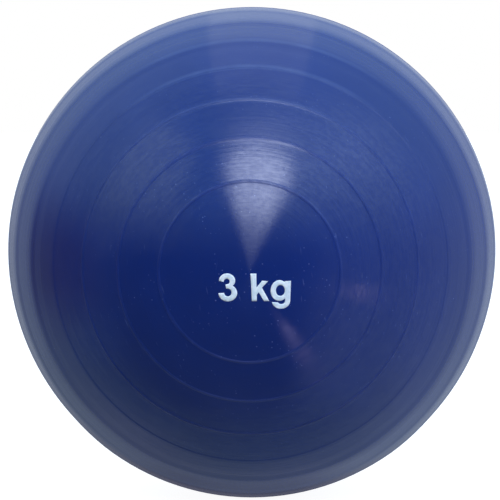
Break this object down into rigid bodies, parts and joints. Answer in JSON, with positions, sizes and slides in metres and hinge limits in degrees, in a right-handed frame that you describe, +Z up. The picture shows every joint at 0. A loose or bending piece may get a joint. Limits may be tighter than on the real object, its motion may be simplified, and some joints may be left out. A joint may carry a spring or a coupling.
{
  "type": "weighted throwing ball",
  "caption": "Weighted throwing ball with a soft moulded shell, raised grip rings, a loose grit filling and a flush filler plug.",
  "frame": {"origin": "centre of the ball", "axes": "+Z up and -Z down to the rack or palm that holds it; +Y along the ring axis from the marked front pole to the plug at the rear pole"},
  "size_m": [0.1202, 0.12, 0.1202],
  "materials": {
    "shell_vinyl": "dark blue soft vinyl, satin, with the fine concentric marks of a turned mould",
    "plug_vinyl": "dark blue vinyl, a little duller than the shell",
    "grit": "dark grey steel grit",
    "mark_ink": "pale blue-white printed mark, a film of ink with no solid of its own"
  },
  "bodies": {
    "root": {"shell": "shell_vinyl", "fill_plug": "plug_vinyl", "steel_grit": "grit"}
  },
  "joints": []
}
